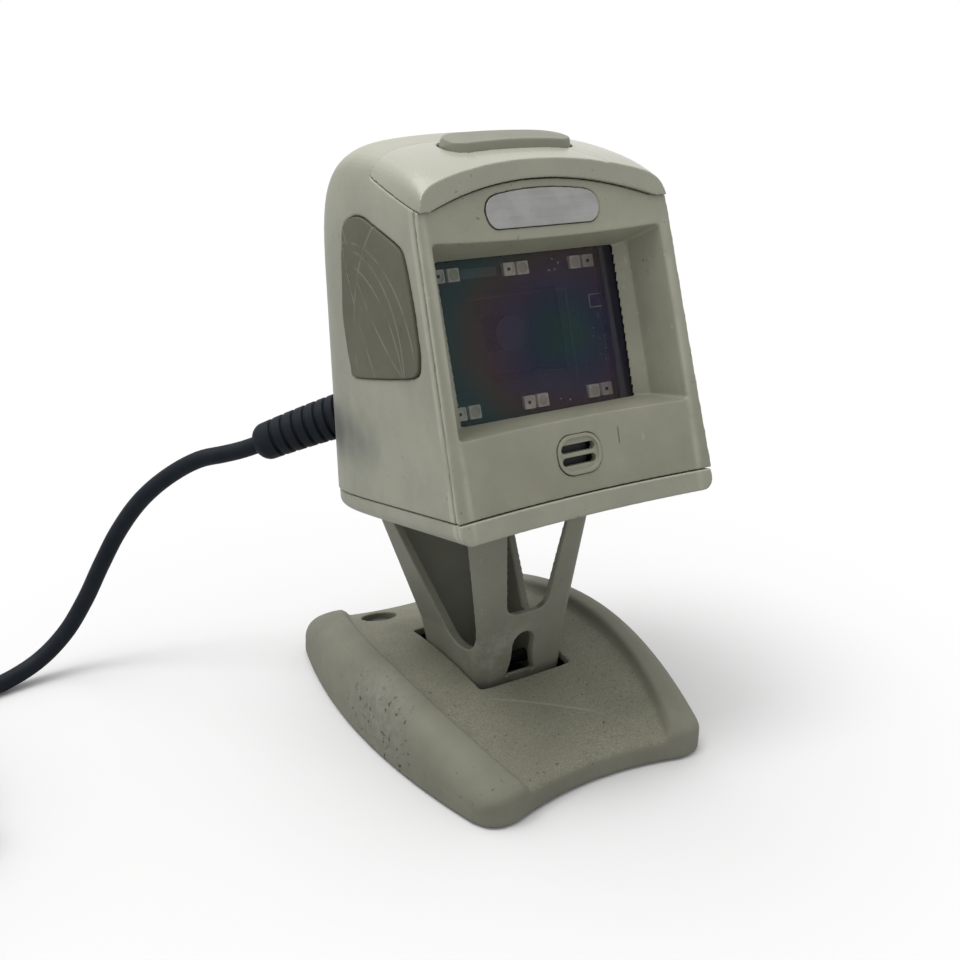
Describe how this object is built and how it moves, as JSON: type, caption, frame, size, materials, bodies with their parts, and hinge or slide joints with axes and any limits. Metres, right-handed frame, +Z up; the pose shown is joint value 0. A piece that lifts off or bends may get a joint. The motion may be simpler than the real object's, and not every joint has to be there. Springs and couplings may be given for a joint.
{
  "type": "presentation barcode scanner",
  "caption": "Grey presentation barcode scanner: a leaning rounded head with a recessed window and roof button on an open neck that tilts in a wide arched base.",
  "frame": {"origin": "on the table, under the middle of the base", "axes": "+Z up, -Y towards the face being scanned, +X to the right of someone looking at the window"},
  "size_m": [0.2796, 0.1463, 0.1732],
  "materials": {
    "body_plastic": "satin moulded, fine texture",
    "roof_plastic": "worn semi-gloss",
    "button_plastic": "satin moulded",
    "base_plastic": "fine spark texture",
    "grip_plastic": "fine texture",
    "badge_metal": "brushed and worn",
    "window_glass": "coated, dark tint",
    "black_plastic": "satin",
    "circuit_board": "solder mask",
    "led_plastic": "satin",
    "steel": "plated",
    "cast_zinc": "as cast",
    "painted_steel": "satin black",
    "brass": "plain",
    "rubber": "matt",
    "cable_rubber": "matt"
  },
  "bodies": {
    "base": {"base_shell": "base_plastic", "base_plate": "painted_steel", "ballast_front": "cast_zinc", "ballast_rear": "cast_zinc", "foot_1": "rubber", "foot_2": "rubber", "foot_3": "rubber", "foot_4": "rubber", "base_screw_1": "steel", "base_screw_2": "steel", "pivot_bracket_left": "cast_zinc", "pivot_bracket_right": "cast_zinc", "pivot_shaft": "steel", "friction_washer_left": "brass", "friction_washer_right": "brass", "lock_nut": "steel", "cable": "cable_rubber", "cable_coil": "cable_rubber", "cable_tie": "black_plastic", "usb_plug": "black_plastic"},
    "tilt_head": {"neck": "body_plastic", "neck_screw_left": "steel", "neck_screw_right": "steel", "bottom_cover": "body_plastic", "rear_housing": "body_plastic", "front_bezel": "body_plastic", "top_cover": "roof_plastic", "side_grip_left": "grip_plastic", "side_grip_right": "grip_plastic", "badge_plate": "badge_metal", "speaker_grille": "body_plastic", "beeper": "black_plastic", "scan_window": "window_glass", "light_baffle": "black_plastic", "illumination_board": "circuit_board", "led_1": "led_plastic", "led_2": "led_plastic", "led_3": "led_plastic", "led_4": "led_plastic", "led_5": "led_plastic", "led_6": "led_plastic", "led_7": "led_plastic", "led_8": "led_plastic", "led_9": "led_plastic", "led_10": "led_plastic", "led_11": "led_plastic", "led_12": "led_plastic", "camera_housing": "black_plastic", "lens_barrel": "black_plastic", "camera_board": "circuit_board", "main_board": "circuit_board", "board_screw_left": "steel", "board_screw_right": "steel", "cable_header": "black_plastic", "switch_board": "circuit_board", "tact_switch": "black_plastic", "button_spring": "steel", "strain_relief": "cable_rubber"},
    "button": {"top_button": "button_plastic"},
    "plunger": {"switch_plunger": "black_plastic"}
  },
  "joints": [
    {"name": "head_tilt", "type": "hinge", "parent": "base", "child": "tilt_head", "pos_m": [0, 0, 0.0105], "axis": [1, 0, 0], "range_deg": [-8, 15], "deforming": ["cable"]},
    {"name": "button_press", "type": "slide", "parent": "tilt_head", "child": "button", "axis": [0, 0.2105, 0.9776], "range_m": [-0.001, 0], "stiffness_N_per_m": 900, "springref_m": 0.0008},
    {"name": "plunger_press", "type": "slide", "parent": "tilt_head", "child": "plunger", "axis": [0, 0.2105, 0.9776], "range_m": [-0.001, 0]}
  ],
  "couplings": [
    {"joint": "plunger_press", "follows": "button_press", "ratio": 1}
  ]
}
